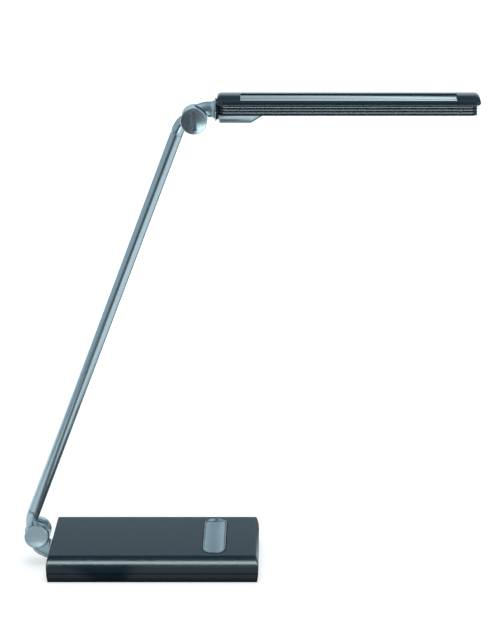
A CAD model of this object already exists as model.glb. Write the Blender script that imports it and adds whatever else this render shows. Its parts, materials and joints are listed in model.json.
import json
import math
import bmesh
import bpy
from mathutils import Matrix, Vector

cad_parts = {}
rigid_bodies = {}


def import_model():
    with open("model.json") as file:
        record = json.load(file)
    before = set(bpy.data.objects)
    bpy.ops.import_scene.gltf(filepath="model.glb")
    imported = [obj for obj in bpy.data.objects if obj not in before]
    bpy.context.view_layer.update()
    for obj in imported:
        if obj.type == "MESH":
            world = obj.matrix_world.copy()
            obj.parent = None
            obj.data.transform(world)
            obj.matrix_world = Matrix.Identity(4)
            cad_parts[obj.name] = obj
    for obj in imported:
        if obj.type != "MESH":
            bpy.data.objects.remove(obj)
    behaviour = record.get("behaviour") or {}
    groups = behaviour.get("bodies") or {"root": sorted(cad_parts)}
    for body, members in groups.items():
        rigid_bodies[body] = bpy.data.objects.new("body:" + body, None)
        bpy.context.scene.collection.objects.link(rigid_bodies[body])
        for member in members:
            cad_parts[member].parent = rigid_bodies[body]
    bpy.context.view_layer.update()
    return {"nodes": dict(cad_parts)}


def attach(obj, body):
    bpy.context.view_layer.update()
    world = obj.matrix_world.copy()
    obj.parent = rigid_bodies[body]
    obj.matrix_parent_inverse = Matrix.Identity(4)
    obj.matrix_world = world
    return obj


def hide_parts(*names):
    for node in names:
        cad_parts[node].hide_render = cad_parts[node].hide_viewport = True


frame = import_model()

MM = 0.001
NODES = frame["nodes"]


# ---------------------------------------------------------------- numbers shared with the solids
BASE_W, BASE_D, BASE_H = 200.0, 104.5, 27.4
BULGE, WIDE_Z, UPPER_ARC, LOWER_ARC = 2.3, 14.0, 36.7, 70.0
PART_Z, TRAY_Z, TRAY_TOP, FLOOR_Z, WALL, LID = 9.7, 0.4, 9.4, 3.4, 2.4, 2.6
PAD_T = 1.8
BUTTON_X, BUTTON_W, BUTTON_L = 59.2, 22.3, 91.0
BOSS_X, BOSS_Y = 92.5, 44.0
INLET_X, INLET_Z = -60.0, 15.8
HINGE_X, HINGE_Z = -115.2, 30.7
LEAN, ARM_L = math.radians(21), 440.8
TUBE_R, TUBE_OFF, BORE_R = 5.95, 10.4, 4.57
SEAM_LOW, SEAM_UP = 20.5, ARM_L - 19
UP_X = HINGE_X + ARM_L * math.sin(LEAN)
UP_Z = HINGE_Z + ARM_L * math.cos(LEAN)
NECK_Z = UP_Z + 9.3
HEAD_X0 = UP_X + 21.4
HEAD_X1 = HEAD_X0 + 244.4
BODY_X0, BODY_X1 = HEAD_X0 + 21.6, HEAD_X1 - 21.6
HEAD_BOTTOM, RIB_TOP = NECK_Z - 3.6, NECK_Z + 6
RIB_Y, CORE_Y, RIB_START, RIB_END = 15.2, 13.7, 1.7, 2.8
RIB_H, RIB_PITCH = 1.6, 2.67
SHELL_Y, SHELL_TOP = 18.0, 13.7
CAP_R, BOLT_R, DISC_FACE, DISC_BACK = 11.7, 12.5, -13, -10.2
LIGHT_X0, LIGHT_X1, LED_N = BODY_X0 + 20, BODY_X1 - 2, 28


# ---------------------------------------------------------------- finishes
def shader(name, colour, rough, metal=0.0, **extra):
    """A new material, and its Principled shader with the plain values set on it."""
    mat = bpy.data.materials.new(name)
    mat.use_nodes = True
    bsdf = mat.node_tree.nodes["Principled BSDF"]
    bsdf.inputs["Base Color"].default_value = (*colour, 1)
    bsdf.inputs["Roughness"].default_value = rough
    bsdf.inputs["Metallic"].default_value = metal
    for key, value in extra.items():
        bsdf.inputs[key.replace("_", " ")].default_value = value
    return mat, mat.node_tree, bsdf


def object_pattern(tree, scale=(1, 1, 1), turn=(0, 0, 0)):
    """Object coordinates, stretched and turned by Mapping nodes."""
    coord = tree.nodes.new("ShaderNodeTexCoord")
    vector = coord.outputs["Object"]
    for kind, value in (("Rotation", turn), ("Scale", scale)):
        mapping = tree.nodes.new("ShaderNodeMapping")
        mapping.inputs[kind].default_value = value
        tree.links.new(vector, mapping.inputs["Vector"])
        vector = mapping.outputs["Vector"]
    return vector


def noise(tree, vector, scale, detail=2.0):
    node = tree.nodes.new("ShaderNodeTexNoise")
    node.inputs["Scale"].default_value = scale
    node.inputs["Detail"].default_value = detail
    tree.links.new(vector, node.inputs["Vector"])
    return node.outputs["Fac"]


def spread(tree, value, low, high, start=0.35, end=0.65):
    """Maps the middle of a noise to the range low..high."""
    node = tree.nodes.new("ShaderNodeMapRange")
    node.inputs["From Min"].default_value = start
    node.inputs["From Max"].default_value = end
    node.inputs["To Min"].default_value = low
    node.inputs["To Max"].default_value = high
    tree.links.new(value, node.inputs["Value"])
    return node.outputs["Result"]


def two_tone(tree, value, dark, light):
    """Blend between two close colours by a pattern."""
    node = tree.nodes.new("ShaderNodeMix")
    node.data_type = "RGBA"
    node.inputs["A"].default_value = (*dark, 1)
    node.inputs["B"].default_value = (*light, 1)
    tree.links.new(value, node.inputs["Factor"])
    return node.outputs["Result"]


def relief(tree, bsdf, value, depth):
    """Bump of a real depth in metres."""
    node = tree.nodes.new("ShaderNodeBump")
    node.inputs["Strength"].default_value = 1.0
    node.inputs["Distance"].default_value = depth
    tree.links.new(value, node.inputs["Height"])
    tree.links.new(node.outputs["Normal"], bsdf.inputs["Normal"])


def shade_of(colour, k):
    return tuple(c * k for c in colour)


def lacquer(name, colour, rough=(0.27, 0.33), tone=0.05, peel=0.000004, metal=0.0, **extra):
    """Smooth sprayed coat: faint cloudiness, fine orange peel and a slightly uneven gloss."""
    mat, tree, bsdf = shader(name, colour, rough[0], metal, **extra)
    place = object_pattern(tree)
    cloud = spread(tree, noise(tree, place, 26), 0, 1)
    tree.links.new(two_tone(tree, cloud, shade_of(colour, 1 - tone), shade_of(colour, 1 + tone)),
                   bsdf.inputs["Base Color"])
    tree.links.new(spread(tree, noise(tree, place, 120, 3), *rough), bsdf.inputs["Roughness"])
    relief(tree, bsdf, noise(tree, place, 420, 1), peel)
    return mat


def brushed(name, colour, along, rough=(0.24, 0.4), tone=0.08, depth=0.000006, metal=1.0):
    """Metal with fine lines that run along one axis."""
    scale = [1100.0, 1100.0, 1100.0]
    scale["xyz".index(along)] = 9.0
    mat, tree, bsdf = shader(name, colour, rough[0], metal)
    place = object_pattern(tree, scale)
    lines = noise(tree, place, 1.0, 4)
    tree.links.new(two_tone(tree, spread(tree, lines, 0, 1), shade_of(colour, 1 - tone), shade_of(colour, 1 + tone)),
                   bsdf.inputs["Base Color"])
    tree.links.new(spread(tree, lines, *rough), bsdf.inputs["Roughness"])
    relief(tree, bsdf, lines, depth)
    return mat


def grained(name, colour, rough=(0.5, 0.65), tone=0.12, grain=0.00002, size=650.0):
    """Moulded plastic or rubber with a fine spark-eroded grain."""
    mat, tree, bsdf = shader(name, colour, rough[0])
    place = object_pattern(tree)
    speck = noise(tree, place, size, 3)
    tree.links.new(two_tone(tree, spread(tree, speck, 0, 1), shade_of(colour, 1 - tone), shade_of(colour, 1 + tone)),
                   bsdf.inputs["Base Color"])
    tree.links.new(spread(tree, noise(tree, place, 60), *rough), bsdf.inputs["Roughness"])
    relief(tree, bsdf, speck, grain)
    return mat


def printed_board(name, green):
    """Circuit board: green mask with the faint pattern of its copper tracks."""
    mat, tree, bsdf = shader(name, green, 0.35)
    brick = tree.nodes.new("ShaderNodeTexBrick")
    brick.inputs["Color1"].default_value = (*green, 1)
    brick.inputs["Color2"].default_value = (*shade_of(green, 1.25), 1)
    brick.inputs["Mortar"].default_value = (*shade_of(green, 0.55), 1)
    brick.inputs["Scale"].default_value = 1.0
    brick.inputs["Mortar Size"].default_value = 0.04
    tree.links.new(object_pattern(tree, (160, 260, 160)), brick.inputs["Vector"])
    tree.links.new(brick.outputs["Color"], bsdf.inputs["Base Color"])
    relief(tree, bsdf, brick.outputs["Fac"], 0.00003)
    return mat


SLATE = lacquer("slate_lacquer", (0.006, 0.016, 0.024), rough=(0.14, 0.17), peel=0.0000004)
TRAY = lacquer("tray_lacquer", (0.005, 0.009, 0.014), rough=(0.15, 0.18), peel=0.0000004)
SILVER = lacquer("silver_paint", (0.48, 0.58, 0.63), rough=(0.15, 0.18), tone=0.03, peel=0.0000004, metal=0.9)
BUTTON = lacquer("button_silver", (0.4, 0.48, 0.52), rough=(0.15, 0.18), tone=0.03, peel=0.0000004, metal=0.9)
STRIP = brushed("strip_aluminium", (0.86, 0.9, 0.88), "x", rough=(0.2, 0.26), tone=0.03)
STEEL = brushed("zinc_steel", (0.55, 0.56, 0.57), "z")
BALLAST = brushed("rolled_steel", (0.3, 0.3, 0.31), "x", rough=(0.4, 0.55))
BLACK = grained("black_plastic", (0.012, 0.014, 0.017))
PAD = grained("pad_rubber", (0.02, 0.02, 0.021), rough=(0.75, 0.88), size=900.0, grain=0.00006)
CABLE = grained("cable_sheath", (0.015, 0.015, 0.016), rough=(0.5, 0.6))
BOARD = printed_board("board_green", (0.02, 0.11, 0.055))
WHITE = grained("white_plastic", (0.78, 0.78, 0.76), rough=(0.35, 0.45), tone=0.02, grain=0.00001)
PHOSPHOR = grained("led_phosphor", (0.85, 0.68, 0.16), rough=(0.3, 0.4), tone=0.06, grain=0.00002)
FROST = lacquer("frosted_diffuser", (0.82, 0.83, 0.82), rough=(0.4, 0.5), tone=0.015, Transmission_Weight=0.25)

FINISH = {
    "base_cover": SLATE, "base_tray": TRAY, "rest_pad": PAD, "base_screws": STEEL, "ballast_plate": BALLAST,
    "button_well": BLACK, "power_button": BUTTON, "button_springs": STEEL, "switch_board": BOARD,
    "tact_switch": BLACK, "control_board": BOARD, "dc_inlet": BLACK, "base_bracket": SILVER,
    "bracket_screws": STEEL, "lower_hinge_bolt": STEEL, "lower_hinge_nut": STEEL,
    "lower_friction_washer": BLACK, "lower_hinge_cap": SILVER, "lower_rear_cap": SILVER,
    "lower_elbow": SILVER, "arm_tube": SILVER, "arm_cable": CABLE, "upper_elbow": SILVER,
    "upper_hinge_bolt": SILVER, "upper_hinge_nut": STEEL, "upper_friction_washer": BLACK,
    "upper_rear_cap": SILVER, "neck_elbow": SILVER, "swivel_washer": BLACK, "swivel_bush": BLACK,
    "swivel_retainer": STEEL, "swivel_housing": SILVER, "head_body": SLATE, "top_strip": STRIP,
    "head_left_cap": SLATE, "head_right_cap": SLATE, "led_board": WHITE, "leds": PHOSPHOR,
    "reflector_frame": WHITE, "diffuser": FROST, "cap_screws": STEEL,
}
for node_name, finish in FINISH.items():
    slots = NODES[node_name].data.materials
    slots.clear()
    slots.append(finish)


# ---------------------------------------------------------------- handling of meshes
def merged_copy(node):
    """A clean copy of a solid's mesh: doubles merged, flat areas joined into whole faces."""
    mesh = NODES[node].data.copy()
    bm = bmesh.new()
    bm.from_mesh(mesh)
    bmesh.ops.remove_doubles(bm, verts=bm.verts, dist=2e-6)
    bmesh.ops.dissolve_limit(bm, angle_limit=math.radians(0.4), verts=bm.verts, edges=bm.edges,
                             delimit={"NORMAL"})
    bm.to_mesh(mesh)
    bm.free()
    return mesh


def link(name, mesh, finish=None):
    """New scene object, with a finish if one is given."""
    obj = bpy.data.objects.new(name, mesh)
    bpy.context.scene.collection.objects.link(obj)
    if finish:
        mesh.materials.clear()
        mesh.materials.append(finish)
    return obj


def settle(obj):
    """Bakes the modifiers into the mesh and takes them off."""
    graph = bpy.context.evaluated_depsgraph_get()
    mesh = bpy.data.meshes.new_from_object(obj.evaluated_get(graph))
    obj.modifiers.clear()
    obj.data = mesh
    return obj


def soften(obj, width, segments=3, angle=32.0, rule=None):
    """Rounds the sharp edges by a real radius, or each edge by the radius that a rule gives it."""
    for face in obj.data.polygons:
        face.use_smooth = True
    bevel = obj.modifiers.new("edge", "BEVEL")
    bevel.width = width * MM
    bevel.segments = segments
    bevel.harden_normals = True
    bevel.miter_outer = "MITER_ARC"
    if rule:
        bevel.limit_method = "WEIGHT"
        bm = bmesh.new()
        bm.from_mesh(obj.data)
        weight = bm.edges.layers.float.new("bevel_weight_edge")
        for edge in bm.edges:
            if len(edge.link_faces) == 2 and edge.calc_face_angle() > math.radians(angle):
                a, b = (v.co / MM for v in edge.verts)
                edge[weight] = rule(a, b) / width
        bm.to_mesh(obj.data)
        bm.free()
    else:
        bevel.limit_method = "ANGLE"
        bevel.angle_limit = math.radians(angle)
    return settle(obj)


def place(obj, body, *nodes, slot=None):
    """Tells the frame which body a piece rides, which solids it replaces and its slot."""
    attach(obj, body)
    if nodes:
        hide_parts(*nodes)
    return obj


def edged(node, body, slot, width=0.3, finish=None, segments=3):
    """The solid's own shape with its edges rounded."""
    obj = link(node + "_edged", merged_copy(node), finish or FINISH[node])
    soften(obj, width, segments)
    return place(obj, body, node, slot=slot)


# ---------------------------------------------------------------- handling of node trees
class Flow:
    """A Geometry Nodes tree: named sizes go in, finished geometry comes out."""

    def __init__(self, name, lengths=(), counts=(), points=()):
        self.tree = bpy.data.node_groups.new(name, "GeometryNodeTree")
        self.face = self.tree.interface
        self.ids = {}
        self.face.new_socket("Geometry", in_out="INPUT", socket_type="NodeSocketGeometry")
        for labels, kind in ((lengths, "Float"), (counts, "Int"), (points, "Vector"), (("Finish",), "Material")):
            for label in labels:
                socket = self.face.new_socket(label, in_out="INPUT", socket_type="NodeSocket" + kind)
                self.ids[label] = socket.identifier
        self.face.new_socket("Geometry", in_out="OUTPUT", socket_type="NodeSocketGeometry")
        self.start = self.tree.nodes.new("NodeGroupInput")

    def size(self, label):
        return self.start.outputs[label]

    def put(self, kind, values=None, output=0, **settings):
        """Adds one node, fills its inputs and gives back one of its outputs."""
        node = self.tree.nodes.new(kind)
        for key, value in settings.items():
            setattr(node, key, value)
        for key, value in (values or {}).items():
            socket = node.inputs[key]
            for item in value if isinstance(value, list) else [value]:
                if isinstance(item, bpy.types.NodeSocket):
                    self.tree.links.new(item, socket)
                else:
                    socket.default_value = item
        return node.outputs[output]

    def calc(self, operation, a, b=0.0):
        return self.put("ShaderNodeMath", {0: a, 1: b}, operation=operation)

    def point(self, x, y, z):
        return self.put("ShaderNodeCombineXYZ", {0: x, 1: y, 2: z})

    def moved(self, geometry, at):
        return self.put("GeometryNodeTransform", {"Geometry": geometry, "Translation": at})

    def cut(self, solid, *tools, operation="DIFFERENCE"):
        values = {"Mesh 2": list(tools)}
        if operation == "DIFFERENCE":
            values["Mesh 1"] = solid
        else:
            values["Mesh 2"] = [solid, *tools]
        return self.put("GeometryNodeMeshBoolean", values, operation=operation, solver="EXACT")

    def box(self, x0, x1, y0, y1, z0, z1):
        cube = self.put("GeometryNodeMeshCube", {"Size": (x1 - x0, y1 - y0, z1 - z0)})
        return self.moved(cube, ((x0 + x1) / 2, (y0 + y1) / 2, (z0 + z1) / 2))

    def outline(self, width, depth, radius, steps=12):
        """Closed rectangle in the flat plane with round corners."""
        quad = self.put("GeometryNodeCurvePrimitiveQuadrilateral", {"Width": width, "Height": depth})
        return self.put("GeometryNodeFilletCurve", {"Curve": quad, "Count": steps, "Radius": radius,
                                                    "Limit Radius": True}, mode="POLY")

    def slab(self, width, depth, radius, at, thick):
        """Round cornered plate that stands on the point at."""
        face = self.put("GeometryNodeFillCurve", {"Curve": self.outline(width, depth, radius)}, mode="NGONS")
        lift = self.point(0.0, 0.0, thick)
        wall = self.put("GeometryNodeExtrudeMesh", {"Mesh": face, "Offset": lift, "Offset Scale": 1.0,
                                                    "Individual": False}, mode="FACES")
        under = self.put("GeometryNodeFlipFaces", {"Mesh": face})
        both = self.put("GeometryNodeJoinGeometry", {"Geometry": [wall, under]})
        closed = self.put("GeometryNodeMergeByDistance", {"Geometry": both, "Distance": 0.001})
        return self.moved(closed, at)

    def finish(self, geometry, keep=False):
        """Last steps of every tree: real geometry with its material on it."""
        last = self.put("GeometryNodeRealizeInstances", {"Geometry": geometry})
        if not keep:
            last = self.put("GeometryNodeSetMaterial", {"Geometry": last, "Material": self.size("Finish")})
        end = self.tree.nodes.new("NodeGroupOutput")
        self.tree.links.new(last, end.inputs[0])
        return self

    def grow(self, name, mesh=None, **values):
        """Runs the tree on an object of its own and keeps the plain mesh, in metres."""
        obj = link(name, mesh or bpy.data.meshes.new(name))
        modifier = obj.modifiers.new("tree", "NODES")
        modifier.node_group = self.tree
        for label, value in values.items():
            modifier[self.ids[label.replace("_", " ")]] = value
        settle(obj)
        return obj


def in_metres(obj):
    """The trees work in millimetres; this brings a finished mesh to metres."""
    for vertex in obj.data.vertices:
        vertex.co *= MM
    bm = bmesh.new()
    bm.from_mesh(obj.data)
    bmesh.ops.remove_doubles(bm, verts=bm.verts, dist=2e-6)
    bmesh.ops.dissolve_limit(bm, angle_limit=math.radians(0.3), verts=bm.verts, edges=bm.edges,
                             delimit={"NORMAL", "MATERIAL"})
    bmesh.ops.recalc_face_normals(bm, faces=bm.faces)
    bm.to_mesh(obj.data)
    bm.free()
    return obj


# ---------------------------------------------------------------- base: cover and tray
def bulged_block(flow, inset, low, high):
    """Block whose four sides follow the two side arcs, ring by ring."""
    cube = flow.put("GeometryNodeMeshCube", {"Size": (2.0, 2.0, 1.0), "Vertices X": 2, "Vertices Y": 2,
                                             "Vertices Z": flow.size("Rings")})
    corner = flow.put("GeometryNodeInputPosition")
    split = flow.tree.nodes.new("ShaderNodeSeparateXYZ")
    flow.tree.links.new(corner, split.inputs[0])
    x, y, t = split.outputs
    height = flow.calc("SUBTRACT", high, low)
    z = flow.calc("ADD", flow.calc("MULTIPLY", flow.calc("ADD", t, 0.5), height), low)
    away = flow.calc("SUBTRACT", z, flow.size("Widest height"))
    above = flow.calc("GREATER_THAN", away, 0.0)
    jump = flow.calc("SUBTRACT", flow.size("Upper arc"), flow.size("Lower arc"))
    radius = flow.calc("ADD", flow.size("Lower arc"), flow.calc("MULTIPLY", above, jump))
    reach = flow.calc("SUBTRACT", flow.calc("POWER", radius, 2.0), flow.calc("POWER", away, 2.0))
    inward = flow.calc("SUBTRACT", radius, flow.calc("SQRT", reach))
    swell = flow.calc("SUBTRACT", flow.calc("SUBTRACT", flow.size("Bulge"), inward), inset)
    px = flow.calc("MULTIPLY", x, flow.calc("ADD", flow.calc("MULTIPLY", flow.size("Flat width"), 0.5), swell))
    py = flow.calc("MULTIPLY", y, flow.calc("ADD", flow.calc("MULTIPLY", flow.size("Flat depth"), 0.5), swell))
    return flow.put("GeometryNodeSetPosition", {"Geometry": cube, "Position": flow.point(px, py, z)})


def case_flow(name, *extra):
    return Flow(name, ("Flat width", "Flat depth", "Bulge", "Widest height", "Upper arc", "Lower arc",
                       "Low", "High", "Wall", "Plate", *extra), ("Rings",))


def tenon_opening(flow):
    return flow.box(-112, -81.6, -9.9, 9.9, 7.1, 20.3)


def cover_flow():
    flow = case_flow("bulged_cover", "Button width", "Button length")
    outside = bulged_block(flow, 0.0, flow.size("Low"), flow.size("High"))
    below = flow.calc("SUBTRACT", flow.size("Low"), 0.5)
    lid = flow.calc("SUBTRACT", flow.size("High"), flow.size("Plate"))
    inside = bulged_block(flow, flow.size("Wall"), below, lid)
    button = flow.slab(flow.calc("ADD", flow.size("Button width"), 1.0),
                       flow.calc("ADD", flow.size("Button length"), 1.0),
                       flow.calc("MULTIPLY", flow.size("Button width"), 0.6), (BUTTON_X, 0, 22), 10.0)
    inlet = flow.put("GeometryNodeMeshCylinder", {"Vertices": 48, "Radius": 4.75, "Depth": 14.0})
    inlet = flow.put("GeometryNodeTransform", {"Geometry": inlet, "Translation": (INLET_X, BASE_D / 2, INLET_Z),
                                               "Rotation": (math.pi / 2, 0, 0)})
    return flow.finish(flow.cut(outside, inside, button, tenon_opening(flow), inlet))


def tray_flow():
    flow = case_flow("bulged_tray", "Pad height", "Screw radius")
    outside = bulged_block(flow, 0.0, flow.size("Low"), flow.size("High"))
    inside = bulged_block(flow, flow.size("Wall"), flow.size("Plate"), flow.calc("ADD", flow.size("High"), 0.5))
    recess = flow.slab(194.0, 97.6, 6.0, (0, 0, -1.0), flow.calc("ADD", flow.size("Pad height"), 1.0))
    bore = flow.put("GeometryNodeMeshCylinder", {"Vertices": 40, "Radius": flow.size("Screw radius"), "Depth": 8.0})
    holes = flow.put("GeometryNodeInstanceOnPoints", {"Points": flow.start.outputs["Geometry"], "Instance": bore})
    holes = flow.put("GeometryNodeRealizeInstances", {"Geometry": holes})
    return flow.finish(flow.cut(outside, inside, recess, holes, tenon_opening(flow)))


def screw_points(name, spots):
    mesh = bpy.data.meshes.new(name)
    mesh.from_pydata([Vector(p) for p in spots], [], [])
    return mesh


CASE = dict(Flat_width=BASE_W, Flat_depth=BASE_D, Bulge=BULGE, Widest_height=WIDE_Z, Upper_arc=UPPER_ARC,
            Lower_arc=LOWER_ARC, Wall=WALL, Rings=18)
BASE_SCREWS = [(x, y) for x in (-BOSS_X, BOSS_X) for y in (-BOSS_Y, BOSS_Y)]
BRACKET_SCREWS = [(-89, -5), (-89, 5)]


def upright(a, b):
    """True for the four standing corner edges of the base."""
    mid = (a + b) / 2
    return abs(mid.x) > BASE_W / 2 - 1 and abs(mid.y) > BASE_D / 2 - 1 and abs(a.z - b.z) > 0.3


def cover_radius(a, b):
    mid = (a + b) / 2
    if upright(a, b):
        return 1.5
    outer = abs(mid.x) > BASE_W / 2 - 1 or abs(mid.y) > BASE_D / 2 - 1
    if mid.z > BASE_H - 0.1:
        return 0.9 if outer else 0.35
    return 0.45 if outer and mid.z < PART_Z + 0.1 else 0.0


def tray_radius(a, b):
    mid = (a + b) / 2
    if upright(a, b):
        return 1.5
    outer = abs(mid.x) > BASE_W / 2 - 4 or abs(mid.y) > BASE_D / 2 - 4
    if mid.z < TRAY_Z + 0.1:
        return 2.3 if outer and not (abs(mid.x) < 97.1 and abs(mid.y) < 48.9) else 0.0
    return 0.9 if outer and mid.z > TRAY_TOP - 0.5 else 0.0


cover = cover_flow().grow("base_cover_shell", Low=PART_Z, High=BASE_H, Plate=LID, Button_width=BUTTON_W,
                          Button_length=BUTTON_L, Finish=SLATE, **CASE)
place(soften(in_metres(cover), 1.5, 4, rule=cover_radius), "base", "base_cover", slot="slate")

heads = screw_points("screw_heads", [(x, y, 0) for x, y in BASE_SCREWS + BRACKET_SCREWS])
tray = tray_flow().grow("base_tray_shell", heads, Low=TRAY_Z, High=TRAY_TOP - 0.35, Plate=FLOOR_Z, Pad_height=PAD_T,
                        Screw_radius=3.2, Finish=TRAY, **CASE)
place(soften(in_metres(tray), 2.3, 4, rule=tray_radius), "base", "base_tray", slot="tray")


# ---------------------------------------------------------------- screws with a cross recess
def screw_flow():
    flow = Flow("cross_head_screws", ("Head radius", "Neck radius", "Head height", "Shank radius", "Length",
                                      "Recess length", "Recess width", "Recess depth"))
    head = flow.put("GeometryNodeMeshCone", {"Vertices": 40, "Radius Bottom": flow.size("Head radius"),
                                             "Radius Top": flow.size("Neck radius"),
                                             "Depth": flow.size("Head height")})
    shank = flow.put("GeometryNodeMeshCylinder", {"Vertices": 24, "Radius": flow.size("Shank radius"),
                                                  "Depth": flow.size("Length")})
    half_length = flow.calc("MULTIPLY", flow.size("Length"), 0.5)
    shank = flow.moved(shank, flow.point(0.0, 0.0, flow.calc("ADD", 0.4, half_length)))
    arms = []
    for across in (False, True):
        long, wide = flow.size("Recess length"), flow.size("Recess width")
        size = flow.point(wide if across else long, long if across else wide,
                          flow.calc("MULTIPLY", flow.size("Recess depth"), 2.0))
        arms.append(flow.put("GeometryNodeMeshCube", {"Size": size}))
    body = flow.cut(head, shank, operation="UNION")
    one = flow.cut(body, *arms)
    many = flow.put("GeometryNodeInstanceOnPoints", {"Points": flow.start.outputs["Geometry"], "Instance": one})
    return flow.finish(many)


SCREWS = screw_flow()


def screws(node, body, spots, z, length):
    """All the screws of one node, heads down, each head standing at height z."""
    points = screw_points(node + "_places", [(x, y, z) for x, y in spots])
    obj = SCREWS.grow(node + "_turned", points, Head_radius=2.5, Neck_radius=2.9, Head_height=1.8,
                      Shank_radius=1.4, Length=length - 0.4, Recess_length=3.8, Recess_width=0.9,
                      Recess_depth=1.1, Finish=STEEL)
    place(soften(in_metres(obj), 0.12, 2), body, node, slot="steel")


screws("base_screws", "base", BASE_SCREWS, TRAY_Z + 1.35, 14)
screws("bracket_screws", "base", BRACKET_SCREWS, PAD_T + 0.1, 14.5)
screws("cap_screws", "head", [(BODY_X1 + 10, 0)], HEAD_BOTTOM + 0.15, 7)


# ---------------------------------------------------------------- arm tube
def tube_flow():
    flow = Flow("arm_tube", ("Outer radius", "Bore radius"), (), ("Start", "End", "Bore start", "Bore end"))
    sweeps = []
    for start, end, radius in (("Start", "End", "Outer radius"), ("Bore start", "Bore end", "Bore radius")):
        line = flow.put("GeometryNodeCurvePrimitiveLine", {"Start": flow.size(start), "End": flow.size(end)})
        ring = flow.put("GeometryNodeCurvePrimitiveCircle", {"Resolution": 72, "Radius": flow.size(radius)})
        sweeps.append(flow.put("GeometryNodeCurveToMesh", {"Curve": line, "Profile Curve": ring, "Fill Caps": True}))
    return flow.finish(flow.cut(*sweeps))


def on_arm(x, z):
    """Point of the arm's own frame: z runs from the lower hinge axis to the upper one."""
    return (HINGE_X + x * math.cos(LEAN) + z * math.sin(LEAN), 0.0,
            HINGE_Z - x * math.sin(LEAN) + z * math.cos(LEAN))


tube = tube_flow().grow("arm_tube_drawn", Outer_radius=TUBE_R, Bore_radius=BORE_R, Finish=SILVER,
                        Start=on_arm(-TUBE_OFF, SEAM_LOW + 0.15), End=on_arm(-TUBE_OFF, SEAM_UP - 0.15),
                        Bore_start=on_arm(-TUBE_OFF, SEAM_LOW - 1), Bore_end=on_arm(-TUBE_OFF, SEAM_UP + 1))
place(soften(in_metres(tube), 0.2, 2), "arm", "arm_tube", slot="silver")


# ---------------------------------------------------------------- head: shell, ribbed skirt and lights
def shell_outline():
    """Section of the smooth shell, y and z from the neck axis: back lip, crown, front lip."""
    half, wide, lip, top, crown = SHELL_Y, 8.9, 6.3, SHELL_TOP, 84
    points = [(half - 2.6, lip - 0.2), (half - 1.5, lip - 0.05), (half - 0.8, lip + 0.5), (half - 0.25, lip + 1.3)]
    for i in range(9):
        a = math.radians(90 * i / 8)
        points.append((half - 3.5 + 3.5 * math.cos(a), wide - 0.6 + (top - wide + 0.4) * math.sin(a)))
    for i in range(13):
        y = 11.0 - 26.0 * i / 12
        points.append((y, top - crown + math.sqrt(crown * crown - min(0.0, y - 8) ** 2)))
    points += [(-half + 2.45, wide + 1.35), (-half + 1.9, wide + 0.95), (-half + 1.5, wide + 0.45)]
    points += [(-half + 1.4 * (1 - i / 5), wide + 0.3 - 2.05 * i / 5) for i in range(6)]
    return points + [(-half + 0.02, lip + 0.4), (-half + 0.2, lip + 0.15), (-half + 0.5, lip - 0.02),
                     (-half + 1.5, lip - 0.12), (-half + 2.6, lip - 0.2)]


def pillow(reach, drop, corner, tuck):
    """Steps from a full section to the blunt end: distance, width cut, top cut, bottom lift."""
    steps = []
    for k in range(15):
        away = corner * (1 - math.sin(math.radians(90 * k / 14)))
        side = corner - math.sqrt(max(0.0, corner ** 2 - (corner - away) ** 2))
        near = min(1.0, max(0.0, (reach - away) / reach))
        under = min(1.0, max(0.0, (tuck - away) / tuck))
        steps.append((away, side, drop * (1 - math.sqrt(1 - near ** 2)), tuck * (1 - math.sqrt(1 - under ** 2))))
    return steps


def join_rings(bm, rings):
    """Side faces from each ring to the next, and one face on each end."""
    for a, b in zip(rings, rings[1:]):
        for k in range(len(a)):
            n = (k + 1) % len(a)
            bm.faces.new((a[k], a[n], b[n], b[k]))
    for ring in (rings[0], rings[-1]):
        bm.faces.new(ring)


def closed_mesh(bm, name):
    bmesh.ops.recalc_face_normals(bm, faces=bm.faces)
    mesh = bpy.data.meshes.new(name)
    bm.to_mesh(mesh)
    bm.free()
    return mesh


def shell_mesh():
    """The whole smooth shell of the head as one loft, in millimetres."""
    outline, half, low, level, top = shell_outline(), SHELL_Y, 6.1, 8.3, SHELL_TOP
    stations = [(HEAD_X0 + a, *rest) for a, *rest in reversed(pillow(3.2, 3.4, 6.5, 1.6))]
    stations += [(BODY_X0 + (BODY_X1 - BODY_X0) * i / 6, 0, 0, 0) for i in range(7)]
    stations += [(HEAD_X1 - a, *rest) for a, *rest in pillow(3.8, 3.0, 5.8, 2.4)]
    bm = bmesh.new()
    rings = []
    for x, side, drop, lift in stations:
        ring = []
        for y, z in outline:
            grow = (z - level) / (top - level) if z > level else (z - level) / (level - low)
            z += -drop * grow if z > level else -lift * grow * 0.9
            ring.append(bm.verts.new((x, y * (half - side) / half, NECK_Z + z)))
        rings.append(ring)
    join_rings(bm, rings)
    bmesh.ops.remove_doubles(bm, verts=bm.verts, dist=0.002)
    return closed_mesh(bm, "head_shell")


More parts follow.
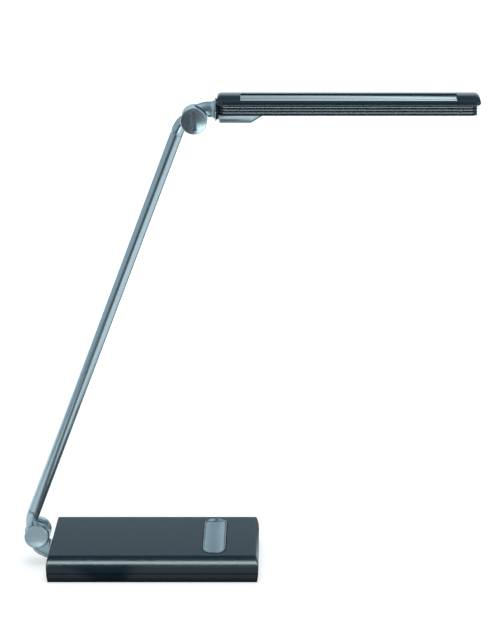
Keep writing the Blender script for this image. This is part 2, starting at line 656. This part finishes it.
def skirt_flow():
    """Smooth shell in, one part of the head out: core, foot and the repeated ribs joined, hollows cut."""
    flow = Flow("ribbed_skirt", ("Cut from", "Cut to", "Rib height", "Rib pitch", "Rib depth"), ("Ribs",))
    shell = flow.start.outputs["Geometry"]
    mid_x = (HEAD_X0 + RIB_START + HEAD_X1 - RIB_END) / 2
    long, wide = HEAD_X1 - RIB_END - HEAD_X0 - RIB_START, 2 * RIB_Y
    core = RIB_Y - CORE_Y
    heart = flow.slab(long - 2 * core, wide - 2 * core, 5.5, (mid_x, 0, HEAD_BOTTOM + 0.3),
                      RIB_TOP + 1 - HEAD_BOTTOM - 0.3)
    foot = flow.slab(long - 0.4, wide - 0.4, 6.8, (mid_x, 0, HEAD_BOTTOM), 1.1)
    ring = flow.outline(long - 2 * core + 0.3, wide - 2 * core + 0.3, 5.6)
    bead = flow.outline(flow.calc("MULTIPLY", flow.calc("SUBTRACT", flow.size("Rib depth"), 0.15), 2.0),
                        flow.size("Rib height"), 0.36, 3)
    rib = flow.put("GeometryNodeCurveToMesh", {"Curve": ring, "Profile Curve": bead, "Fill Caps": False})
    top = flow.calc("SUBTRACT", RIB_TOP - 0.35, flow.calc("MULTIPLY", flow.size("Rib height"), 0.5))
    places = flow.put("GeometryNodeMeshLine", {
        "Count": flow.size("Ribs"), "Start Location": flow.point(mid_x, 0.0, top),
        "Offset": flow.point(0.0, 0.0, flow.calc("MULTIPLY", flow.size("Rib pitch"), -1.0))}, mode="OFFSET")
    ribs = flow.put("GeometryNodeInstanceOnPoints", {"Points": places, "Instance": rib})
    ribs = flow.put("GeometryNodeRealizeInstances", {"Geometry": ribs})
    outside = flow.cut(shell, heart, foot, ribs, operation="UNION")
    span = flow.put("GeometryNodeMeshCube", {"Size": flow.point(
        flow.calc("SUBTRACT", flow.size("Cut to"), flow.size("Cut from")), 60.0, 60.0)})
    centre = flow.calc("MULTIPLY", flow.calc("ADD", flow.size("Cut to"), flow.size("Cut from")), 0.5)
    part = flow.cut(outside, flow.moved(span, flow.point(centre, 0.0, NECK_Z)), operation="INTERSECT")
    body0, body1, left, right = BODY_X0 + 0.05, BODY_X1 - 0.05, BODY_X0 - 0.05, BODY_X1 + 0.05
    slope = math.atan2(2.2, 21.0)
    tray = flow.put("GeometryNodeMeshCube", {"Size": (body1 - body0, 21.3, 11.2)})
    tray = flow.put("GeometryNodeTransform", {
        "Geometry": tray, "Rotation": (slope, 0, 0),
        "Translation": ((body0 + body1) / 2, -4 - 4.4 * math.sin(slope), NECK_Z + 11.5 + 4.4 * math.cos(slope))})
    bush = flow.put("GeometryNodeMeshCylinder", {"Vertices": 48, "Radius": 9.6, "Depth": 6.0})
    bush = flow.put("GeometryNodeTransform", {"Geometry": bush, "Rotation": (0, math.pi / 2, 0),
                                              "Translation": (HEAD_X0 + 2, 0, NECK_Z)})
    hollows = [
        flow.box(body0, body1, -11.8, 11.8, HEAD_BOTTOM - 1, NECK_Z + 6.3),
        flow.box(body0 - 0.01, body1 + 0.01, -13.4, 13.4, NECK_Z + 6.2, NECK_Z + 8.6), tray,
        flow.box(HEAD_X0 + 4.6, left, -11.8, 11.8, NECK_Z + 1, NECK_Z + 9.2),
        flow.box(HEAD_X0 + 4.6, left + 0.01, -10.6, 10.6, HEAD_BOTTOM - 1, NECK_Z + 2),
        bush, flow.box(HEAD_X0 - 1, HEAD_X0 + 5.01, -9.6, 9.6, HEAD_BOTTOM - 1, NECK_Z),
        flow.box(right, HEAD_X1 - 6.6, -11.79, 11.79, NECK_Z + 1, NECK_Z + 9.2)]
    for radius, deep in ((3.1, 3.1), (1.5, 14.0)):
        bore = flow.put("GeometryNodeMeshCylinder", {"Vertices": 40, "Radius": radius, "Depth": deep * 2})
        hollows.append(flow.moved(bore, (BODY_X1 + 10, 0, HEAD_BOTTOM - 1)))
    return flow.finish(flow.cut(part, *hollows))


def head_radius(a, b):
    """Joints between the parts and the mouth of the strip's bed get a fine edge."""
    mid = (a + b) / 2
    for joint in (BODY_X0 - 0.1, BODY_X0 + 0.1, BODY_X1 - 0.1, BODY_X1 + 0.1):
        if abs(a.x - joint) < 0.02 and abs(b.x - joint) < 0.02:
            return 0.15
    if mid.z > NECK_Z + 8.9 and abs(a.x - b.x) > 1:
        return 0.3
    return 0.2 if mid.z < HEAD_BOTTOM + 0.05 and abs(mid.y) > 13 else 0.0


SKIRTS = skirt_flow()
head_parts = []
for part, x0, x1 in (("head_left_cap", HEAD_X0 - 1, BODY_X0 - 0.1), ("head_body", BODY_X0 + 0.1, BODY_X1 - 0.1),
                     ("head_right_cap", BODY_X1 + 0.1, HEAD_X1 + 1)):
    shell = SKIRTS.grow(part + "_ribbed", shell_mesh(), Cut_from=x0, Cut_to=x1, Rib_height=RIB_H,
                        Rib_pitch=RIB_PITCH, Rib_depth=RIB_Y - CORE_Y, Ribs=3, Finish=SLATE)
    head_parts.append(place(soften(in_metres(shell), 0.3, 3, rule=head_radius), "head", part, slot="slate"))


def lights_flow():
    flow = Flow("row_of_lights", ("Pitch", "Width", "Depth", "Height", "Window radius"), ("Count",), ("First",))
    case = flow.put("GeometryNodeMeshCube", {"Size": flow.point(flow.size("Width"), flow.size("Depth"),
                                                                flow.size("Height"))})
    dish = flow.put("GeometryNodeMeshCylinder", {"Vertices": 24, "Radius": flow.size("Window radius"), "Depth": 0.6})
    case = flow.cut(case, flow.moved(dish, flow.point(0.0, 0.0, flow.calc("MULTIPLY", flow.size("Height"), -0.5))))
    case = flow.put("GeometryNodeSetMaterial", {"Geometry": case, "Material": WHITE})
    dome = flow.put("GeometryNodeMeshUVSphere", {"Segments": 16, "Rings": 8, "Radius": flow.calc(
        "SUBTRACT", flow.size("Window radius"), 0.02)})
    dome = flow.put("GeometryNodeTransform", {"Geometry": dome, "Translation": (0, 0, -0.15), "Scale": (1, 1, 0.22)})
    dome = flow.put("GeometryNodeSetMaterial", {"Geometry": dome, "Material": flow.size("Finish")})
    one = flow.put("GeometryNodeJoinGeometry", {"Geometry": [case, dome]})
    row = flow.put("GeometryNodeMeshLine", {"Count": flow.size("Count"), "Start Location": flow.size("First"),
                                            "Offset": flow.point(flow.size("Pitch"), 0.0, 0.0)}, mode="OFFSET")
    return flow.finish(flow.put("GeometryNodeInstanceOnPoints", {"Points": row, "Instance": one}), keep=True)


lights = lights_flow().grow("leds_in_a_row", Pitch=(LIGHT_X1 - LIGHT_X0 - 8) / (LED_N - 1), Width=3.5, Depth=2.8,
                            Height=0.8, Window_radius=1.05, Count=LED_N, First=(LIGHT_X0 + 4, 0, NECK_Z + 3.15),
                            Finish=PHOSPHOR)
place(in_metres(lights), "head", "leds", slot="led")


# ---------------------------------------------------------------- turned discs of the two hinges
def turned(name, profile, x, z, sides=96):
    """Disc turned about the depth axis; the profile gives radius and depth in millimetres."""
    bm = bmesh.new()
    rings = []
    for radius, depth in profile:
        if radius < 0.001:
            rings.append([bm.verts.new((x * MM, depth * MM, z * MM))])
            continue
        ring = []
        for k in range(sides):
            a = 2 * math.pi * (k + 0.5) / sides
            ring.append(bm.verts.new(((x + radius * math.cos(a)) * MM, depth * MM, (z + radius * math.sin(a)) * MM)))
        rings.append(ring)
    for a, b in zip(rings, rings[1:]):
        for k in range(sides):
            n = (k + 1) % sides
            if len(a) == 1:
                bm.faces.new((a[0], b[k], b[n]))
            elif len(b) == 1:
                bm.faces.new((a[k], b[0], a[n]))
            else:
                bm.faces.new((a[k], b[k], b[n], a[n]))
    return closed_mesh(bm, name)


def quarter(radius, depth, r, back=False):
    """Rim points that turn from the flat face to the side."""
    turn = -1 if back else 1
    return [(radius - r + r * math.sin(math.radians(a)), depth + turn * r * (1 - math.cos(math.radians(a))))
            for a in range(0, 91, 15)]


def turned_piece(node, body, profile, x, z):
    obj = link(node + "_turned", turned(node, profile, x, z), SILVER)
    soften(obj, 0.05, 1, angle=50)
    return place(obj, body, node, slot="silver")


dish = [((CAP_R - 0.9) * t / 8, DISC_FACE + 1.0 * (1 - (t / 8) ** 2)) for t in range(8)]
lower_disc = turned_piece("lower_hinge_cap", "arm", dish + quarter(CAP_R, DISC_FACE, 0.8)
                          + [(CAP_R, DISC_BACK), (0, DISC_BACK)], HINGE_X, HINGE_Z)
for node, body, radius, x, z in (("lower_rear_cap", "base", 12.6, HINGE_X, HINGE_Z),
                                 ("upper_rear_cap", "neck", 12.5, UP_X, UP_Z)):
    turned_piece(node, body, [(0, 13), *quarter(radius, 13, 1.0, True), (radius, 11.6), (0, 11.6)], x, z)


def carve(obj, cutter):
    """Cuts one mesh out of a piece."""
    tool = link("cutter", cutter)
    cut = obj.modifiers.new("slot", "BOOLEAN")
    cut.object = tool
    cut.solver = "EXACT"
    settle(obj)
    bpy.data.objects.remove(tool)
    return obj


def slot_wedge(x, z, tilt, width, length, deep):
    """Trough with sloping walls, pressed into the face of the bolt."""
    mesh = bpy.data.meshes.new("slot_wedge")
    section = [(-width / 2 - 0.6, -1.0), (width / 2 + 0.6, -1.0), (0.7, deep), (-0.7, deep)]
    cos, sin = math.cos(tilt), math.sin(tilt)
    points = []
    for end in (-length / 2, length / 2):
        for across, depth in section:
            points.append(((x + across * cos + end * sin) * MM, (DISC_FACE + depth) * MM,
                           (z - across * sin + end * cos) * MM))
    mesh.from_pydata(points, [], [(0, 1, 2, 3), (7, 6, 5, 4), (0, 4, 5, 1), (1, 5, 6, 2), (2, 6, 7, 3), (3, 7, 4, 0)])
    bm = bmesh.new()
    bm.from_mesh(mesh)
    bmesh.ops.recalc_face_normals(bm, faces=bm.faces)
    bm.to_mesh(mesh)
    bm.free()
    return mesh


crown = [((BOLT_R - 1.0) * t / 8, DISC_FACE + 0.6 * (t / 8) ** 2) for t in range(9)]
rim = quarter(BOLT_R, -12.4, 1.0)[1:]
shank = [(BOLT_R, DISC_BACK), (3.0, DISC_BACK), (3.0, 10.9), (0, 10.9)]
bolt = link("upper_hinge_bolt_turned", turned("upper_hinge_bolt", crown + rim + shank, UP_X, UP_Z), SILVER)
carve(bolt, slot_wedge(UP_X, UP_Z, math.radians(-5), 4.4, 18, 2.6))
place(soften(bolt, 0.12, 2), "neck", "upper_hinge_bolt", slot="silver")


# ---------------------------------------------------------------- dished button
def stadium(radius, length, sides=24):
    """Points of a stadium with its long side along y."""
    half = length / 2 - radius
    points = []
    for end in (1, -1):
        for k in range(sides + 1):
            a = math.radians(180 * k / sides) + (0 if end > 0 else math.pi)
            points.append((radius * math.cos(a), end * half + radius * math.sin(a)))
    return points


def button_mesh():
    """Skirt, raised round rim and the long trough between its two ends, as one skin."""
    r, top = BUTTON_W / 2, BASE_H + 1
    deep, shallow, edge, rim = 2.0, 0.45, 0.6, 0.12
    skin = [(1.4, top - 2.5), (1.4, 18.0), (0.0, 18.0)]
    skin += [(edge * (1 - math.cos(math.radians(a))), top - edge + edge * math.sin(math.radians(a)))
             for a in range(0, 91, 15)]
    skin += [(0.9, top)]
    bm = bmesh.new()
    rings = []
    for inset, z in skin:
        rings.append([bm.verts.new((BUTTON_X + x, y, z)) for x, y in stadium(r - inset, BUTTON_L - 2 * inset)])
    for inset in (1.1, 1.3, 1.7, 2.5, 3.5, 4.5, 5.5, 6.5, 7.5, 8.5, 9.5, 10.3, 10.9):
        settle_in = 0.0 if inset < 1.2 else min(1.0, (inset - 1.1) / 0.6)
        ring = []
        for x, y in stadium(r - inset, BUTTON_L - 2 * inset):
            trough = top - deep + (deep - shallow) * (x / (r - 1.1)) ** 2
            z = top - rim if inset < 1.2 else top - rim + (trough - top + rim) * settle_in
            ring.append(bm.verts.new((BUTTON_X + x, y, z)))
        rings.append(ring)
    join_rings(bm, rings)
    to_z = top - 2.4
    for y, radius, from_z in ((0, 2.2, 23.9), (-26, 1.7, 22.0), (26, 1.7, 22.0)):
        peg = bmesh.ops.create_cone(bm, cap_ends=True, segments=32, radius1=radius, radius2=radius,
                                    depth=to_z - from_z)
        bmesh.ops.translate(bm, verts=peg["verts"], vec=(BUTTON_X, y, (from_z + to_z) / 2))
    bmesh.ops.remove_doubles(bm, verts=bm.verts, dist=0.001)
    for vertex in bm.verts:
        vertex.co *= MM
    return closed_mesh(bm, "power_button")


button = link("power_button_dished", button_mesh(), BUTTON)
place(soften(button, 0.15, 2, angle=40), "button", "power_button", slot="silver")


# ---------------------------------------------------------------- pieces that keep the solid's shape
edged("base_bracket", "base", "silver", 0.45)
edged("lower_elbow", "arm", "silver", 0.35)
edged("upper_elbow", "arm", "silver", 0.35)
edged("neck_elbow", "neck", "silver", 0.3)
edged("swivel_washer", "head", "black", 0.1)
edged("swivel_housing", "head", "silver", 0.4)
edged("top_strip", "head", "strip", 0.12)
edged("dc_inlet", "base", "black", 0.25)
edged("diffuser", "head", "diffuser", 0.2)


# ---------------------------------------------------------------- floor, lights and camera
def wire(tree, node, **values):
    """Fills inputs of a shader node, by name or as n0, n1 by number, and gives back its first output."""
    for key, value in values.items():
        numbered = key[0] == "n" and key[1:].isdigit()
        socket = node.inputs[int(key[1:]) if numbered else key.replace("_", " ")]
        if isinstance(value, bpy.types.NodeSocket):
            tree.links.new(value, socket)
        else:
            socket.default_value = value
    return node.outputs[0]


def maths(tree, operation, a, b=0.0):
    node = tree.nodes.new("ShaderNodeMath")
    node.operation = operation
    return wire(tree, node, n0=a, n1=b)


# How bright the table shows in gloss, by the angle round the lamp: 0 is towards the camera, 90 to the right
REFLECTED_TABLE = ((-180, 0.45), (-150, 0.9), (-36, 0.9), (-20, 0.14), (-2, 0.12), (12, 1.0), (95, 1.0), (125, 0.3),
                   (180, 0.3))
FOOT_X, FOOT_Y = 0.102, 0.0545  # where the base ends on the table, in metres from its middle


def floor():
    """White table: it keeps the lamp's contact shadow, and shines as a studio table does in gloss."""
    half = 14.0
    mesh = bpy.data.meshes.new("floor")
    low = -0.0001
    mesh.from_pydata([(-half, -half, low), (half, -half, low), (half, half, low), (-half, half, low)], [],
                     [(0, 1, 2, 3)])
    mat = bpy.data.materials.new("pale_floor")
    mat.use_nodes = True
    tree = mat.node_tree
    tree.nodes.clear()
    new = tree.nodes.new
    path = new("ShaderNodeLightPath")
    coord = new("ShaderNodeTexCoord")
    length = new("ShaderNodeVectorMath")
    length.operation = "LENGTH"
    tree.links.new(coord.outputs["Object"], length.inputs[0])

    def ranged(value, **limits):
        return wire(tree, new("ShaderNodeMapRange"), Value=value, **limits)

    rise = ranged(length.outputs["Value"], From_Min=0.16, From_Max=0.9, To_Min=0.55, To_Max=1.0)
    level = maths(tree, "MULTIPLY", path.outputs["Is Camera Ray"], rise)
    plain = wire(tree, new("ShaderNodeAddShader"),
                 n0=wire(tree, new("ShaderNodeBsdfDiffuse"), Color=(0.55, 0.55, 0.55, 1)),
                 n1=wire(tree, new("ShaderNodeEmission"), Strength=level))
    parts = new("ShaderNodeSeparateXYZ")
    tree.links.new(coord.outputs["Object"], parts.inputs[0])
    beside = maths(tree, "ADD", parts.outputs["X"], 0.03)
    ahead = maths(tree, "MULTIPLY", parts.outputs["Y"], -1.0)
    turn = ranged(maths(tree, "ARCTAN2", beside, ahead), From_Min=-math.pi, From_Max=math.pi)
    ramp = new("ShaderNodeValToRGB")
    stops = ramp.color_ramp
    stops.interpolation = "EASE"
    for angle, value in REFLECTED_TABLE:
        at = (angle + 180) / 360
        stop = stops.elements[0 if angle < 0 else -1] if abs(angle) == 180 else stops.elements.new(at)
        stop.position = at
        stop.color = (value * 0.85, value * 0.97, value, 1)
    tree.links.new(turn, ramp.inputs[0])

    def beyond(axis, edge):
        """Square of the way past the base's edge along one axis."""
        past = maths(tree, "SUBTRACT", maths(tree, "ABSOLUTE", parts.outputs[axis]), edge)
        return maths(tree, "POWER", maths(tree, "MAXIMUM", past, 0.0), 2.0)

    off = maths(tree, "SQRT", maths(tree, "ADD", beyond("X", FOOT_X), beyond("Y", FOOT_Y)))
    near = maths(tree, "ADD", ranged(off, From_Max=0.01, To_Min=0.04, To_Max=0.6),
                 ranged(off, From_Min=0.05, From_Max=0.15, To_Max=0.4))
    far = ranged(parts.outputs["Y"], From_Min=-1.25, From_Max=-0.95, To_Min=0.22, To_Max=1.0)
    behind = ranged(parts.outputs["Y"], From_Min=0.9, From_Max=1.5, To_Min=1.0, To_Max=2.4)
    shine = wire(tree, new("ShaderNodeEmission"), Color=ramp.outputs[0],
                 Strength=maths(tree, "MULTIPLY", maths(tree, "MULTIPLY", near, far), behind))
    mix = new("ShaderNodeMixShader")
    wire(tree, mix, n0=path.outputs["Is Glossy Ray"], n1=plain, n2=shine)
    tree.links.new(mix.outputs[0], new("ShaderNodeOutputMaterial").inputs["Surface"])
    mat.cycles.emission_sampling = "NONE"  # as a sampled light it loses half its shine
    obj = link("floor", mesh, mat)


def sky():
    """Studio round the lamp: a white backdrop, light walls left and right, dark behind the camera."""
    world = bpy.data.worlds.new("studio")
    bpy.context.scene.world = world
    world.use_nodes = True
    tree = world.node_tree
    back = tree.nodes["Background"]
    path = tree.nodes.new("ShaderNodeLightPath")
    coord = tree.nodes.new("ShaderNodeTexCoord")

    def wall(towards, start, end, gain):
        dot = tree.nodes.new("ShaderNodeVectorMath")
        dot.operation = "DOT_PRODUCT"
        wire(tree, dot, n0=coord.outputs["Generated"], n1=Vector(towards).normalized())
        ramp = tree.nodes.new("ShaderNodeMapRange")
        ramp.interpolation_type = "SMOOTHSTEP"
        return wire(tree, ramp, Value=dot.outputs["Value"], From_Min=start, From_Max=end, To_Min=0.0, To_Max=gain)

    low = maths(tree, "SUBTRACT", 1.0, wall((0, 0, 1), 0.3, 0.43, 1.0))
    total = maths(tree, "MULTIPLY", wall((0, 0.96, 0.24), 0.93, 0.985, 0.8), low)
    for part in (wall((-0.95, -0.1, 0.3), 0.3, 0.8, 0.45), wall((0.87, -0.5, 0.15), 0.5, 0.85, 0.8),
                 wall((0, 0.1, 1), 0.6, 0.9, 0.3)):
        total = maths(tree, "ADD", total, part)
    total = maths(tree, "ADD", total, 0.13)
    mix = tree.nodes.new("ShaderNodeMapRange")
    open_view = maths(tree, "MAXIMUM", path.outputs["Is Camera Ray"], path.outputs["Is Transmission Ray"])
    wire(tree, mix, Value=open_view, To_Min=total, To_Max=1.0)
    tree.links.new(mix.outputs["Result"], back.inputs["Strength"])
    tint = tree.nodes.new("ShaderNodeMix")
    tint.data_type = "RGBA"
    tint.inputs["A"].default_value = (0.7, 0.88, 1, 1)
    tint.inputs["B"].default_value = (1, 1, 1, 1)
    tree.links.new(open_view, tint.inputs["Factor"])
    tree.links.new(tint.outputs["Result"], back.inputs["Color"])


def softbox(name, at, look, size, power):
    data = bpy.data.lights.new(name, "AREA")
    data.shape = "RECTANGLE"
    data.size, data.size_y = size
    data.energy = power
    obj = bpy.data.objects.new(name, data)
    obj.location = at
    obj.rotation_euler = (Vector(look) - Vector(at)).to_track_quat("-Z", "Y").to_euler()
    bpy.context.scene.collection.objects.link(obj)
    return obj


floor()
sky()
top = softbox("top_box", (0.2, 0.0, 3.2), (0.05, 0, 0.1), (2.6, 2.0), 56)
top.visible_glossy = False
fill = softbox("front_fill", (0.2, -2.4, 0.9), (0.1, 0, 0.1), (2.4, 1.2), 30)
fill.visible_glossy = fill.visible_camera = False


def gloss_card(name, x, near, far, glow, pieces):
    """Lit card in front of the lamp that only shows in the gloss of some of its pieces."""
    middle, edge = (x[0] + x[1]) / 2, Vector((0, near[0] - far[0], near[1] - far[1]))
    at = Vector((middle, (near[0] + far[0]) / 2, (near[1] + far[1]) / 2))
    size = (x[1] - x[0], edge.length)
    card = softbox(name, at, at + Vector((1, 0, 0)).cross(edge), size, glow * math.pi * size[0] * size[1])
    card.data.color = (0.8, 0.96, 1.0)
    card.visible_camera = card.visible_diffuse = False
    shown = bpy.data.collections.new("seen_by_" + name)
    for piece in pieces:
        shown.objects.link(piece)
    card.light_linking.receiver_collection = shown


silver = [obj for obj in bpy.data.objects if obj.type == "MESH" and obj.data.materials
          and obj.data.materials[0] in (SILVER, STRIP)]
gloss_card("base_card", (-0.62, 0.68), (-0.2, 0.007), (-0.62, 0.055), 12.0, (cover, tray))
gloss_card("rib_card", (-0.6, 0.9), (-0.6, 0.14), (-0.6, 0.315), 14.0, head_parts)
gloss_card("disc_card", (0.07, 1.0), (-0.95, 0.002), (-1.8, 0.002), 2.3, silver)
gloss_card("low_disc_card", (-0.7, 0.3), (-0.15, 0.002), (-2.4, 0.002), 0.9, (lower_disc,))
gloss_card("strip_card", (-0.6, 0.9), (1.0, 1.2), (1.0, 0.68), 0.3, silver)
gloss_card("high_card", (-0.5, 0.8), (0.3, 1.2), (-0.3, 1.2), 1.3, silver)

# Camera fitted to the photo: focal length, side shift and long side in pixels, film in mm, tilt in radians
FOCAL, SHIFT, LONG_SIDE, FILM, TILT = 2129.2, -25.3, 640, 36, 0.2739
camera = bpy.data.cameras.new("camera")
camera.sensor_width = FILM
camera.lens = FOCAL * FILM / LONG_SIDE
camera.shift_x = SHIFT / LONG_SIDE
camera.clip_start, camera.clip_end = 0.05, 60
eye = bpy.data.objects.new("camera", camera)
eye.location = (0.1166, -1.960, 0.7986)
eye.rotation_euler = (math.pi / 2 - TILT, 0, 0)
bpy.context.scene.collection.objects.link(eye)
bpy.context.scene.camera = eye
bpy.context.scene.view_settings.view_transform = "Standard"
